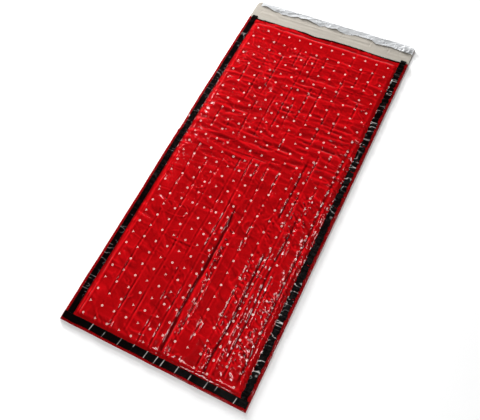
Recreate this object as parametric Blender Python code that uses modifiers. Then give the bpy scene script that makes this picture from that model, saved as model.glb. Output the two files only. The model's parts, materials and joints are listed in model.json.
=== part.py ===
"""Infrared sauna blanket: a flat bag of two heated panels that folds in half for storage.

The base lies on the floor and the cover on it. The cover is joined to the base along the right
edge, closes with hook-and-loop tape on the left and foot edges, and is open at the head, where the
base reaches past it as a short flap. Both panels hold felt, a reflector, a heating wire on its
carrier and a lining. Every sheet is made in two zones, upper and lower, that meet at the fold.

Frame: metres, origin on the floor under the middle of the blanket, +X to the right (hinge) edge,
+Y to the head, +Z up. Each moving body hangs from an empty that lies on its joint's axis.
"""

import math

import bmesh
import bpy
from mathutils import Matrix

MM = 0.001

# --- Outline -------------------------------------------------------------------------------
LENGTH = 1800 * MM  # foot edge to the flap's head edge
WIDTH = 810 * MM
FOLD_FROM_FOOT = 956 * MM  # foot edge to the line where the blanket folds in half
BASE_REACH = 110 * MM  # how far the base reaches past the cover's head edge, flap included
FLAP_ROOT = 20 * MM  # the part of that reach before the flap's fold line
MARGIN = 13 * MM  # film left outside the tapes
TAPE_WIDTH = 25 * MM
TAB_REACH = 17 * MM  # base tapes that stick out past the cover's head edge
SLOPE_RUN = 20 * MM  # where a panel thickens from its hem to its padded field
HEAD_HEM = 20 * MM  # flat hem at the cover's head edge
BINDING_DEPTH = 7 * MM  # how far the head binding reaches on to the cover
FLAP_CORNER = 24 * MM  # radius of the flap's head corners
FOIL_HEM_DEPTH = 38 * MM

# --- Thicknesses, bottom to top ------------------------------------------------------------
SHELL = 0.8 * MM  # coated fabric under the base
BASE_FELT = 2.4 * MM
COVER_FELT = 1.8 * MM
FLAP_FELT = 1.6 * MM
REFLECTOR = 0.4 * MM
CARRIER = 0.5 * MM  # scrim that the heating wire is tacked to
WIRE = 2.0 * MM  # silicone-covered carbon-fibre heating wire, diameter
LINING = 0.6 * MM
CLOSURE = 1.1 * MM  # one tape of a hook-and-loop pair
FILM = 0.8 * MM  # glossy laminated cover film
BAND = 0.6 * MM  # black band that is sewn on the film
BINDING = 0.5 * MM  # cloth folded over the cover's head edge
FOIL_HEM = 0.4 * MM
CLEAR = 0.3 * MM  # gap between pieces that lie on each other
FOLD_CLEARANCE = 1.0 * MM  # gap that is left between panels when one is folded on another

# --- Heating circuit -----------------------------------------------------------------------
WIRE_RUNS = 10  # an even number, so that the cut-out lies between the middle two
WIRE_TO_BOX = 8.4 * MM  # outermost run to the junction box
WIRE_END_INSET = 12 * MM  # from the padded field's ends to the turns
TURN_SEGMENTS = 6
THERMOSTAT = (8 * MM, 20 * MM)  # flat bimetal cut-out, across and along
PROBE_LENGTH = 9 * MM
PROBE_OFFSET = 60 * MM  # from the cut-out, along the blanket

# --- Power inlet ---------------------------------------------------------------------------
INLET_FROM_HEAD = 300 * MM  # middle of the inlet, from the flap's head edge
INLET_WIDTH = 32 * MM
INLET_DEPTH = 12.4 * MM
INLET_WALL = 1.0 * MM
SOCKET_DEPTH = 11.2 * MM
CONTACTS = 3
CONTACT_PITCH = 7 * MM
CONTACT_RADIUS = 0.9 * MM
CONTACT_REACH = 4.0 * MM
CONTACT_PLATE = 0.8 * MM
CONTACT_SIDES = 12
LEAD = 2.0 * MM  # supply lead, diameter
JUNCTION_BOX = (22 * MM, 40 * MM)  # across and along
JUNCTION_LID = 1.2 * MM

# --- Places that follow from them ----------------------------------------------------------
SIDE = WIDTH / 2
FOOT_Y = -LENGTH / 2
HEAD_Y = LENGTH / 2
COVER_HEAD_Y = HEAD_Y - BASE_REACH
FLAP_Y = COVER_HEAD_Y + FLAP_ROOT
FOLD_Y = FOOT_Y + FOLD_FROM_FOOT
HEM = MARGIN + TAPE_WIDTH  # flat border at the sides and the foot
FIELD_SIDE = SIDE - HEM - SLOPE_RUN
FIELD_FOOT_Y = FOOT_Y + HEM + SLOPE_RUN
FIELD_HEAD_Y = COVER_HEAD_Y - HEAD_HEM - SLOPE_RUN
INLET_Y = HEAD_Y - INLET_FROM_HEAD
BOX_OUTER_X = -FIELD_SIDE + 2 * CLEAR  # the junction box's side towards the inlet
BOX_INNER_X = BOX_OUTER_X + JUNCTION_BOX[0]
WIRE_SIDE = -(BOX_INNER_X + WIRE_TO_BOX + WIRE / 2)  # the outermost runs
WIRE_PITCH = 2 * WIRE_SIDE / (WIRE_RUNS - 1)


def above(bottom, thickness):
    """The height at which the next layer starts."""
    return bottom + thickness + CLEAR


# The base: shell and felt reach its edges, the rest fills the padded field.
BASE_FELT_Z = above(0, SHELL)
BASE_LINING_HEM_Z = above(BASE_FELT_Z, BASE_FELT)
BASE_REFLECTOR_Z = above(BASE_FELT_Z, BASE_FELT)
BASE_CARRIER_Z = above(BASE_REFLECTOR_Z, REFLECTOR)
BASE_WIRE_Z = above(BASE_CARRIER_Z, CARRIER)
BASE_LINING_Z = above(BASE_WIRE_Z, WIRE)
LOOP_TAPE_Z = above(BASE_LINING_HEM_Z, LINING)
HOOK_TAPE_Z = above(LOOP_TAPE_Z, CLOSURE)

# The cover: its hem lies on the tapes and its field on the base's field.
COVER_LINING_HEM_Z = above(HOOK_TAPE_Z, CLOSURE)
COVER_FILM_HEM_Z = above(COVER_LINING_HEM_Z, LINING)
BAND_Z = above(COVER_FILM_HEM_Z, FILM)
COVER_LINING_Z = above(BASE_LINING_Z, LINING)
COVER_WIRE_Z = above(COVER_LINING_Z, LINING)
COVER_CARRIER_Z = above(COVER_WIRE_Z, WIRE)
COVER_REFLECTOR_Z = above(COVER_CARRIER_Z, CARRIER)
COVER_FELT_Z = above(COVER_REFLECTOR_Z, REFLECTOR)
COVER_FILM_Z = above(COVER_FELT_Z, COVER_FELT)
TOP_Z = COVER_FILM_Z + FILM

# The flap, inside its foil hem.
FLAP_BACKING_Z = above(0, FOIL_HEM)
FLAP_FELT_Z = above(FLAP_BACKING_Z, SHELL)
FLAP_LINING_Z = above(FLAP_FELT_Z, FLAP_FELT)
FLAP_TOP_Z = above(FLAP_LINING_Z, LINING) + FOIL_HEM

# Heights of the joints' axes. A panel that is folded flat lands the same distance above its axis
# as it lay below it, so each axis is halfway between the two surfaces that come to face each other.
FLAP_AXIS_Z = (TOP_Z + FLAP_TOP_Z + FOLD_CLEARANCE) / 2
FOLDED_FLAP_TOP_Z = 2 * FLAP_AXIS_Z
FOLD_AXIS_Z = (TOP_Z + FOLDED_FLAP_TOP_Z + FOLD_CLEARANCE) / 2
COVER_AXIS_Z = (TOP_Z + CLEAR) / 2  # the opened cover lies just clear of the floor

# Each zone's ends, for the whole panel and for its padded field.
ZONES = {
    "upper": {"end": (FOLD_Y + CLEAR / 2, COVER_HEAD_Y), "field": (FOLD_Y + CLEAR / 2, FIELD_HEAD_Y)},
    "lower": {"end": (FOOT_Y, FOLD_Y - CLEAR / 2), "field": (FIELD_FOOT_Y, FOLD_Y - CLEAR / 2)},
}
BASE_HEAD_Y = FLAP_Y - CLEAR / 2  # the base's upper zone runs on to the flap's fold

# --- Materials: colour, roughness, metallic ------------------------------------------------
FINISHES = {
    "red_film": ((0.50, 0.005, 0.010), 0.22, 0.0),
    "red_shell": ((0.42, 0.006, 0.012), 0.45, 0.0),
    "black_band": ((0.008, 0.008, 0.008), 0.30, 0.0),
    "closure_tape": ((0.010, 0.010, 0.010), 0.90, 0.0),
    "cream_lining": ((0.66, 0.62, 0.54), 0.85, 0.0),
    "silver_foil": ((0.62, 0.63, 0.65), 0.25, 1.0),
    "grey_felt": ((0.45, 0.45, 0.44), 0.95, 0.0),
    "scrim": ((0.75, 0.73, 0.66), 0.90, 0.0),
    "silicone": ((0.30, 0.02, 0.02), 0.50, 0.0),
    "black_plastic": ((0.02, 0.02, 0.02), 0.45, 0.0),
    "brass": ((0.75, 0.55, 0.22), 0.30, 1.0),
}


def clear_scene():
    for obj in list(bpy.data.objects):
        bpy.data.objects.remove(obj, do_unlink=True)


def collection(name):
    made = bpy.data.collections.new(name)
    bpy.context.scene.collection.children.link(made)
    return made


def finish_materials():
    made = {}
    for name, (colour, roughness, metallic) in FINISHES.items():
        material = bpy.data.materials.new(name)
        material.use_nodes = True
        shader = material.node_tree.nodes["Principled BSDF"]
        shader.inputs["Base Color"].default_value = (*colour, 1)
        shader.inputs["Roughness"].default_value = roughness
        shader.inputs["Metallic"].default_value = metallic
        material.diffuse_color = (*colour, 1)
        made[name] = material
    return made


clear_scene()
BLANKET = collection("sauna_blanket")
CUTTERS = collection("cutters")
MATERIALS = finish_materials()


def add(name, mesh_or_curve, finish, group=BLANKET):
    obj = bpy.data.objects.new(name, mesh_or_curve)
    group.objects.link(obj)
    if finish:
        mesh_or_curve.materials.append(MATERIALS[finish])
    return obj


def box_mesh(name, x, y, z):
    """A box between the two ends given on each axis."""
    made = bmesh.new()
    bmesh.ops.create_cube(made, size=1)
    for vert in made.verts:
        vert.co = [
            (low + high) / 2 + share * (high - low)
            for share, (low, high) in zip(vert.co, (x, y, z))
        ]
    mesh = bpy.data.meshes.new(name)
    made.to_mesh(mesh)
    made.free()
    return mesh


def sheet(name, x, y, bottom, thickness, finish):
    """A flat layer."""
    return add(name, box_mesh(name, x, y, (bottom, bottom + thickness)), finish)


def grown(span, by):
    return span[0] - by, span[1] + by


def combine(obj, name, mesh, operation):
    """Cuts the mesh out of obj, or joins it to obj."""
    cutter = add(f"cutter_{name}", mesh, None, CUTTERS)
    cutter.hide_render = True
    cutter.display_type = "WIRE"
    modifier = obj.modifiers.new(name, "BOOLEAN")
    modifier.object = cutter
    modifier.operation = operation


def cut_box(obj, name, x, y, z):
    combine(obj, name, box_mesh(name, x, y, z), "DIFFERENCE")


def rod_mesh(name, x, y, z, radius, sides):
    """A round rod along X, between the two ends in x, at the height z."""
    made = bmesh.new()
    bmesh.ops.create_cone(
        made, cap_ends=True, segments=sides, radius1=radius, radius2=radius, depth=x[1] - x[0]
    )
    bmesh.ops.rotate(made, verts=made.verts, matrix=Matrix.Rotation(math.pi / 2, 3, "Y"))
    bmesh.ops.translate(made, verts=made.verts, vec=(sum(x) / 2, y, z))
    mesh = bpy.data.meshes.new(name)
    made.to_mesh(mesh)
    made.free()
    return mesh


def pan(name, zone, end, hem_z, field_z, thickness, finish):
    """A sheet with a flat hem and a padded field that stands higher, open at the fold.

    The grid's columns are the edge, the hem's inner line and the field's edge on each side, and
    its rows are the same lines along the blanket, with the fold at one end.
    """
    columns = [-SIDE, -SIDE + HEM, -FIELD_SIDE, FIELD_SIDE, SIDE - HEM, SIDE]
    if zone == "upper":
        rows = [end[0], FIELD_HEAD_Y, FIELD_HEAD_Y + SLOPE_RUN, end[1]]
        raised_rows = (0, 1)
    else:
        rows = [end[0], FOOT_Y + HEM, FIELD_FOOT_Y, end[1]]
        raised_rows = (2, 3)
    raised_columns = (2, 3)
    made = bmesh.new()
    bmesh.ops.create_grid(made, x_segments=len(columns) - 1, y_segments=len(rows) - 1, size=0.5)
    for vert in made.verts:
        column = round((vert.co.x + 0.5) * (len(columns) - 1))
        row = round((vert.co.y + 0.5) * (len(rows) - 1))
        raised = column in raised_columns and row in raised_rows
        vert.co = (columns[column], rows[row], field_z if raised else hem_z)
    mesh = bpy.data.meshes.new(name)
    made.to_mesh(mesh)
    made.free()
    obj = add(name, mesh, finish)
    solidify = obj.modifiers.new("thickness", "SOLIDIFY")
    solidify.thickness = thickness
    solidify.offset = 1
    return obj


def folded_strip(name, profile, x, thickness, finish):
    """A strip of cloth that is folded along X: profile is its line in the YZ plane."""
    made = bmesh.new()
    verts = [made.verts.new((x[0], y, z)) for y, z in profile]
    edges = [made.edges.new(pair) for pair in zip(verts, verts[1:])]
    swept = bmesh.ops.extrude_edge_only(made, edges=edges)["geom"]
    moved = [part for part in swept if isinstance(part, bmesh.types.BMVert)]
    bmesh.ops.translate(made, verts=moved, vec=(x[1] - x[0], 0, 0))
    bmesh.ops.recalc_face_normals(made, faces=made.faces)
    mesh = bpy.data.meshes.new(name)
    made.to_mesh(mesh)
    made.free()
    obj = add(name, mesh, finish)
    solidify = obj.modifiers.new("thickness", "SOLIDIFY")
    solidify.thickness = thickness
    solidify.offset = 0
    solidify.use_even_offset = True
    return obj


def serpentine(y):
    """Points of a wire that runs up and down the field, with half-round turns."""
    radius = WIRE_PITCH / 2
    low, high = y[0] + WIRE_END_INSET + radius, y[1] - WIRE_END_INSET - radius
    points = []
    for run in range(WIRE_RUNS):
        x = run * WIRE_PITCH - WIRE_SIDE
        going_up = run % 2 == 0
        points += [(x, low), (x, high)] if going_up else [(x, high), (x, low)]
        if run == WIRE_RUNS - 1:
            break
        turn_y, way = (high, 1) if going_up else (low, -1)
        for step in range(1, TURN_SEGMENTS):
            angle = math.pi * step / TURN_SEGMENTS
            points.append((x + radius * (1 - math.cos(angle)), turn_y + way * radius * math.sin(angle)))
    return points


def tube(name, points, diameter, finish):
    curve = bpy.data.curves.new(name, "CURVE")
    curve.dimensions = "3D"
    curve.bevel_depth = diameter / 2
    curve.bevel_resolution = 2
    curve.use_fill_caps = True
    spline = curve.splines.new("POLY")
    spline.points.add(len(points) - 1)
    for point, place in zip(spline.points, points):
        point.co = (*place, 1)
    return add(name, curve, finish)


def heater(panel, zone, reflector_z, carrier_z, wire_z):
    """Reflector, carrier, wire, cut-out and probe, which fill the padded field."""
    field_y = ZONES[zone]["field"]
    field_x = (-FIELD_SIDE + CLEAR, FIELD_SIDE - CLEAR)
    if zone == "upper":
        field_y = (field_y[0], field_y[1] - CLEAR)
    else:
        field_y = (field_y[0] + CLEAR, field_y[1])
    sheet(f"{panel}_reflector_{zone}", field_x, field_y, reflector_z, REFLECTOR, "silver_foil")
    sheet(f"{panel}_heater_carrier_{zone}", field_x, field_y, carrier_z, CARRIER, "scrim")
    centre_z = wire_z + WIRE / 2
    route = [(x, y, centre_z) for x, y in serpentine(field_y)]
    tube(f"{panel}_heating_wire_{zone}", route, WIRE, "silicone")
    middle = sum(field_y) / 2
    across, along = THERMOSTAT
    sheet(
        f"{panel}_thermostat_{zone}",
        (-across / 2, across / 2),
        (middle - along / 2, middle + along / 2),
        wire_z,
        WIRE,
        "black_plastic",
    )
    probe_y = middle + PROBE_OFFSET
    ends = [(0, probe_y - PROBE_LENGTH / 2, centre_z), (0, probe_y + PROBE_LENGTH / 2, centre_z)]
    tube(f"{panel}_temperature_probe_{zone}", ends, WIRE, "brass")


def base_panel(zone):
    low, high = ZONES[zone]["end"]
    if zone == "upper":
        high = BASE_HEAD_Y
    sheet(f"base_shell_{zone}", (-SIDE, SIDE), (low, high), 0, SHELL, "red_shell")
    sheet(f"base_felt_{zone}", (-SIDE, SIDE), (low, high), BASE_FELT_Z, BASE_FELT, "grey_felt")
    heater("base", zone, BASE_REFLECTOR_Z, BASE_CARRIER_Z, BASE_WIRE_Z)
    pan(f"base_lining_{zone}", zone, (low, high), BASE_LINING_HEM_Z, BASE_LINING_Z, LINING, "cream_lining")


def cover_panel(zone):
    end = ZONES[zone]["end"]
    field_x = (-FIELD_SIDE + CLEAR, FIELD_SIDE - CLEAR)
    low, high = ZONES[zone]["field"]
    field_y = (low, high - CLEAR) if zone == "upper" else (low + CLEAR, high)
    pan(f"cover_lining_{zone}", zone, end, COVER_LINING_HEM_Z, COVER_LINING_Z, LINING, "cream_lining")
    heater("cover", zone, COVER_REFLECTOR_Z, COVER_CARRIER_Z, COVER_WIRE_Z)
    sheet(f"cover_felt_{zone}", field_x, field_y, COVER_FELT_Z, COVER_FELT, "grey_felt")
    pan(f"cover_film_{zone}", zone, end, COVER_FILM_HEM_Z, COVER_FILM_Z, FILM, "red_film")


def tapes(zone):
    """Bands on the film, the closure's hook and loop tapes, and the webbing of the hinge side."""
    left = (-SIDE + MARGIN, -SIDE + HEM)
    right = (SIDE - HEM, SIDE - MARGIN)
    foot = (FOOT_Y + MARGIN, FOOT_Y + HEM)
    low, high = ZONES[zone]["end"]
    if zone == "lower":
        low = foot[1] + CLEAR
    tab_high = COVER_HEAD_Y + TAB_REACH if zone == "upper" else high
    sheet(f"cover_band_left_{zone}", left, (low, high), BAND_Z, BAND, "black_band")
    sheet(f"cover_band_right_{zone}", right, (low, high), BAND_Z, BAND, "black_band")
    sheet(f"cover_hook_tape_left_{zone}", left, (low, high), HOOK_TAPE_Z, CLOSURE, "closure_tape")
    sheet(f"base_loop_tape_left_{zone}", left, (low, tab_high), LOOP_TAPE_Z, CLOSURE, "closure_tape")
    webbing = COVER_LINING_HEM_Z - CLEAR - LOOP_TAPE_Z
    sheet(f"hinge_webbing_{zone}", right, (low, tab_high), LOOP_TAPE_Z, webbing, "closure_tape")
    if zone == "lower":
        whole = (-SIDE, SIDE)
        sheet("cover_band_foot", whole, foot, BAND_Z, BAND, "black_band")
        sheet("cover_hook_tape_foot", whole, foot, HOOK_TAPE_Z, CLOSURE, "closure_tape")
        sheet("base_loop_tape_foot", whole, foot, LOOP_TAPE_Z, CLOSURE, "closure_tape")


def head_binding():
    """Black binding that is folded over the cover's head edge, between the side tapes."""
    middle = BINDING / 2 + CLEAR
    low_z = COVER_LINING_HEM_Z - middle
    high_z = COVER_FILM_HEM_Z + FILM + middle
    front_y = COVER_HEAD_Y + middle
    inner_y = COVER_HEAD_Y - BINDING_DEPTH
    profile = [(inner_y, low_z), (front_y, low_z), (front_y, high_z), (inner_y, high_z)]
    reach = SIDE - HEM - CLEAR
    folded_strip("cover_head_binding", profile, (-reach, reach), BINDING, "black_band")


def flap():
    """The head flap: backing, felt and lining in a foil hem."""
    low = FLAP_Y + CLEAR / 2
    edge_y = HEAD_Y - FOIL_HEM - CLEAR
    for name, bottom, thickness, finish in (
        ("flap_backing", FLAP_BACKING_Z, SHELL, "red_shell"),
        ("flap_felt", FLAP_FELT_Z, FLAP_FELT, "grey_felt"),
        ("flap_lining", FLAP_LINING_Z, LINING, "cream_lining"),
    ):
        obj = sheet(name, (-SIDE, SIDE), (low, edge_y), bottom, thickness, finish)
        round_head_corners(obj)
    low_z = FOIL_HEM / 2
    top_z = FLAP_TOP_Z - FOIL_HEM / 2
    front_y = HEAD_Y - FOIL_HEM / 2
    back_y = HEAD_Y - FOIL_HEM_DEPTH
    profile = [(back_y, low_z), (front_y, low_z), (front_y, top_z), (back_y, top_z)]
    reach = SIDE - FLAP_CORNER - CLEAR
    folded_strip("flap_foil_hem", profile, (-reach, reach), FOIL_HEM, "silver_foil")


def round_head_corners(obj):
    """Rounds the two upright edges at the head of a flat layer."""
    made = bmesh.new()
    made.from_mesh(obj.data)
    head = max(vert.co.y for vert in made.verts)
    upright = [
        edge
        for edge in made.edges
        if all(abs(vert.co.y - head) < CLEAR for vert in edge.verts)
        and abs(edge.verts[0].co.x - edge.verts[1].co.x) < CLEAR
    ]
    bmesh.ops.bevel(
        made, geom=upright, offset=FLAP_CORNER, segments=5, profile=0.5, affect="EDGES", material=-1
    )
    made.to_mesh(obj.data)
    made.free()


def inlet():
    """Socket block in a notch of the base's left edge, with its contacts, lead and junction box."""
    y = grown((INLET_Y, INLET_Y), INLET_WIDTH / 2)
    x = (-SIDE, -SIDE + INLET_DEPTH)
    z = (CLEAR, HOOK_TAPE_Z + CLOSURE)
    block = sheet("power_inlet_housing", x, y, z[0], z[1] - z[0], "black_plastic")
    floor_x = x[0] + SOCKET_DEPTH
    socket_y = grown(y, -INLET_WALL)
    socket_z = grown(z, -INLET_WALL)
    cut_box(block, "socket", (x[0] - CLEAR, floor_x), socket_y, socket_z)
    notch_x = (x[0] - CLEAR, x[1] + CLEAR)
    for name in ("base_shell_upper", "base_felt_upper", "base_lining_upper"):
        notched = bpy.data.objects[name]
        cut_box(notched, f"notch_{name}", notch_x, grown(y, CLEAR), (-CLEAR, z[1] + CLEAR))
    contacts(floor_x, socket_y, socket_z)
    junction_box(x[1])


def contacts(floor_x, socket_y, socket_z):
    """A plate on the socket's floor and the pins that stand on it."""
    x = (floor_x - CLEAR - CONTACT_PLATE, floor_x - CLEAR)
    z = grown(socket_z, -CLEAR)
    name = "power_inlet_contacts"
    plate = sheet(name, x, grown(socket_y, -CLEAR), z[0], z[1] - z[0], "brass")
    pin_x = (x[0] - CONTACT_REACH, x[0] + CONTACT_PLATE / 2)
    for index in range(CONTACTS):
        pin_y = INLET_Y + (index - (CONTACTS - 1) / 2) * CONTACT_PITCH
        pin_name = f"pin_{index}"
        pin = rod_mesh(pin_name, pin_x, pin_y, sum(z) / 2, CONTACT_RADIUS, CONTACT_SIDES)
        combine(plate, pin_name, pin, "UNION")


def junction_box(inlet_x):
    """Splitter box in pockets of the felt, reflector and carrier, with the lead that feeds it."""
    x = (BOX_OUTER_X, BOX_INNER_X)
    y = grown((INLET_Y, INLET_Y), JUNCTION_BOX[1] / 2)
    lid_z = BASE_WIRE_Z + WIRE - JUNCTION_LID
    sheet("junction_box", x, y, BASE_FELT_Z, lid_z - CLEAR - BASE_FELT_Z, "black_plastic")
    sheet("junction_box_lid", x, y, lid_z, JUNCTION_LID, "black_plastic")
    pocket_z = (SHELL, BASE_WIRE_Z)
    for name in ("base_felt_upper", "base_reflector_upper", "base_heater_carrier_upper"):
        pocketed = bpy.data.objects[name]
        cut_box(pocketed, f"pocket_{name}", grown(x, CLEAR), grown(y, CLEAR), pocket_z)
    channel_y = grown((INLET_Y, INLET_Y), LEAD / 2 + CLEAR)
    channel_z = (SHELL, BASE_LINING_HEM_Z)
    felt = bpy.data.objects["base_felt_upper"]
    cut_box(felt, "lead_channel", (inlet_x, x[0]), channel_y, channel_z)
    lead_z = BASE_FELT_Z + LEAD / 2
    ends = [(inlet_x + CLEAR, INLET_Y, lead_z), (x[0] - CLEAR, INLET_Y, lead_z)]
    tube("supply_lead", ends, LEAD, "silicone")


def body_of(name):
    """The moving body that a piece belongs to."""
    if name.startswith("flap"):
        return "flap"
    panel = "cover" if name.startswith("cover") else "base"
    zone = "lower" if name.endswith(("lower", "foot")) else "upper"
    return f"{panel}_{zone}"


def hang_on_axes():
    """Hangs each moving body's pieces from an empty on its joint's axis."""
    axes = {
        "base_upper": (None, (0, FOLD_Y, FOLD_AXIS_Z)),
        "cover_lower": (None, (SIDE, 0, COVER_AXIS_Z)),
        "cover_upper": ("base_upper", (SIDE, 0, COVER_AXIS_Z)),
        "flap": ("base_upper", (0, FLAP_Y, FLAP_AXIS_Z)),
    }
    empties = {}
    for body, (carrier, place) in axes.items():
        empty = add(f"{body}_axis", None, None)
        empty.location = place
        if carrier:
            empty.parent = empties[carrier]
            empty.matrix_parent_inverse = Matrix.Translation(axes[carrier][1]).inverted()
        empties[body] = empty
    for obj in list(BLANKET.objects):
        body = body_of(obj.name)
        if obj.type != "EMPTY" and body in empties:
            obj.parent = empties[body]
            obj.matrix_parent_inverse = Matrix.Translation(axes[body][1]).inverted()


for zone_name in ZONES:
    base_panel(zone_name)
    cover_panel(zone_name)
    tapes(zone_name)
head_binding()
flap()
inlet()
hang_on_axes()
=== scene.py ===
# %% [markdown]
# # Infrared sauna blanket
#
# A sauna blanket is a flat bag: two heated panels on top of each other. Everything that shows is
# thin sheet goods: a glossy laminated film, black tape, non-woven cloth and metallised foil. None
# of it is ever quite flat, so this lesson is mostly about wrinkles: which ones each material
# makes, and how to give a plain grid those wrinkles with a few formulas.
#
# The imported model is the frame. It gives the size and place of every layer and the bodies that
# move, so each new piece is placed from it.

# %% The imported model
import json
import math

import bmesh
import bpy
import numpy as np
from mathutils import Matrix, Vector

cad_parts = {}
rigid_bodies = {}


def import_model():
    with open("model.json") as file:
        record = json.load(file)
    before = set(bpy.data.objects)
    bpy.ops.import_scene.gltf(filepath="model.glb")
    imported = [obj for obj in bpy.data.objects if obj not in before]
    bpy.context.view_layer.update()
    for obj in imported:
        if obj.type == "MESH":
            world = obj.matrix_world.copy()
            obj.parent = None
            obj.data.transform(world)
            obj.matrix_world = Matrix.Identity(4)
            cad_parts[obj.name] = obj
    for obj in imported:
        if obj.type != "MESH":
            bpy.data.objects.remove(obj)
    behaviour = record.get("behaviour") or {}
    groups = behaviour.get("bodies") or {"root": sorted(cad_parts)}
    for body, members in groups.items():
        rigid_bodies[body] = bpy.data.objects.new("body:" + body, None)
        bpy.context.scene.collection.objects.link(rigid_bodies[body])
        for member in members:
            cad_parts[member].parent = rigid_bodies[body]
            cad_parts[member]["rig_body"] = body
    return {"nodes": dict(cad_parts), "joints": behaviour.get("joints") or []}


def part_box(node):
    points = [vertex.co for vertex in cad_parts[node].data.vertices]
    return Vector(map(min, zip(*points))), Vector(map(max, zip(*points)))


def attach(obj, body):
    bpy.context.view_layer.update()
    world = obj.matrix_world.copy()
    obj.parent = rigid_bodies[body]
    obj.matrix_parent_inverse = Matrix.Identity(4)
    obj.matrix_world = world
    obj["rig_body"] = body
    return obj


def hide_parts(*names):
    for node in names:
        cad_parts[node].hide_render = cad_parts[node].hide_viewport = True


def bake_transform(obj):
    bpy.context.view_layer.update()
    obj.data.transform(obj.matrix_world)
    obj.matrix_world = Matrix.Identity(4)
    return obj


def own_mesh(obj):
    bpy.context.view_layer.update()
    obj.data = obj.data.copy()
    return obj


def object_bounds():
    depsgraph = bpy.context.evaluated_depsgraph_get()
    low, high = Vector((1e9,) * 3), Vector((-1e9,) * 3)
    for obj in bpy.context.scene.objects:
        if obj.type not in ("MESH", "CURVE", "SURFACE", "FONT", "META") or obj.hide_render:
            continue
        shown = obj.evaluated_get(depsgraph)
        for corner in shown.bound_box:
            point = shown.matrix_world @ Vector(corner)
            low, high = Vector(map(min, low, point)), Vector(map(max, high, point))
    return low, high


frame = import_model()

CAD_BOUNDS = [list(corner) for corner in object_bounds()]
MM = 0.001

# %% Places that the pieces share
CAD_LOW, CAD_HIGH = CAD_BOUNDS
SIDE = CAD_HIGH[0]
FOOT = CAD_LOW[1]
HEAD = CAD_HIGH[1]
COVER_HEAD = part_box("cover_film_upper")[1].y
FOLD = (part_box("cover_film_lower")[1].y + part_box("cover_film_upper")[0].y) / 2
PIVOTS = {joint["name"]: Vector(joint["pos_m"]) for joint in frame["joints"]}
FLAP_LINE = PIVOTS["flap_fold"].y
SEAM_GAP = 0.3 * MM
print(f"cover {COVER_HEAD - FOOT:.3f} m long, folds at y = {FOLD:.3f}")

# %% [markdown]
# ## Small tools
#
# Colours are picked as the sRGB hex values that a colour chart gives, and shaders work in linear
# light, so one function converts them. Another adds a node to a material with its settings and
# links, which keeps each material short enough to read in one go.


# %% Colour and node tools
def linear(hex_colour):
    """An sRGB hex colour as linear RGBA."""
    channels = [int(hex_colour[i : i + 2], 16) / 255 for i in (1, 3, 5)]
    return [c / 12.92 if c <= 0.04045 else ((c + 0.055) / 1.055) ** 2.4 for c in channels] + [1]


def feed(tree, fed, inputs):
    """Gives a node's inputs, by name or number, a constant or the output that feeds them."""
    for socket, value in inputs.items():
        if isinstance(value, bpy.types.NodeSocket):
            tree.links.new(value, fed.inputs[socket])
        else:
            fed.inputs[socket].default_value = value


def node(tree, kind, inputs=None, **settings):
    """Adds a node with its settings and inputs."""
    made = tree.nodes.new("ShaderNode" + kind)
    for name, value in settings.items():
        setattr(made, name, value)
    feed(tree, made, inputs or {})
    return made


def material(name, colour, roughness, **sockets):
    """A Principled material, its tree and its shader. Other constants go on the named sockets."""
    made = bpy.data.materials.new(name)
    made.use_nodes = True
    made.diffuse_color = linear(colour)
    shader = made.node_tree.nodes["Principled BSDF"]
    constants = {socket.replace("_", " "): value for socket, value in sockets.items()}
    constants.update({"Base Color": linear(colour), "Roughness": roughness})
    feed(made.node_tree, shader, constants)
    print("finish:", name)
    return made, made.node_tree, shader


print("middle grey in linear light:", round(linear("#808080")[0], 3))

# %% [markdown]
# ## Sheets as folded grids
#
# A sheet is cut flat and then folded over edges. Here it starts as a flat grid whose lines are
# laid closer together where it bends, and a function carries each point of the flat sheet to its
# place on the blanket. Solidify gives it its thickness afterwards.


# %% Grid tools
def spaced(low, high, step):
    """Evenly spaced numbers from low to high."""
    return np.linspace(low, high, max(2, round(abs(high - low) / step) + 1))


def lines(*parts):
    """Joins lists of grid lines, in order and without doubles."""
    joined = np.unique(np.round(np.concatenate(parts), 6))
    return joined[np.concatenate([[True], np.diff(joined) > 1e-5])]


def coordinates(mesh):
    """The mesh's points, one row each."""
    flat = np.empty(len(mesh.vertices) * 3)
    mesh.vertices.foreach_get("co", flat)
    return flat.reshape(-1, 3)


def set_coordinates(mesh, points):
    """Moves the mesh's points."""
    mesh.vertices.foreach_set("co", points.ravel())
    mesh.update()


def show(name, mesh, finish):
    """A smooth object at the origin, with its finish."""
    made = bpy.data.objects.new(name, mesh)
    bpy.context.scene.collection.objects.link(made)
    mesh.materials.append(finish)
    mesh.shade_smooth()
    print(name, len(mesh.polygons), "faces")
    return made


def cloth(name, across, along, surface, finish, thickness=0.0, below=True, hole=None):
    """A sheet. The surface function carries places on the flat grid to places in the frame."""
    grid = bmesh.new()
    bmesh.ops.create_grid(grid, x_segments=len(across) - 1, y_segments=len(along) - 1, size=1)
    mesh = bpy.data.meshes.new(name)
    grid.to_mesh(mesh)
    grid.free()
    points = coordinates(mesh)
    u = across[np.rint((points[:, 0] + 1) / 2 * (len(across) - 1)).astype(int)]
    v = along[np.rint((points[:, 1] + 1) / 2 * (len(along) - 1)).astype(int)]
    set_coordinates(mesh, np.stack(np.broadcast_arrays(*surface(u, v)), axis=1))
    if hole:
        cut_hole(mesh, *hole)
    made = show(name, mesh, finish)
    if thickness:
        solid = made.modifiers.new("thickness", "SOLIDIFY")
        solid.thickness = thickness
        solid.offset = -1 if below else 1
    return made


def store(made, name, amounts, most=1.0):
    """Keeps an amount for each point of a piece, for its material to read."""
    kept = made.data.attributes.new(name, "FLOAT", "POINT")
    kept.data.foreach_set("value", np.clip(amounts, 0, most).astype(np.float32))


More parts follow.
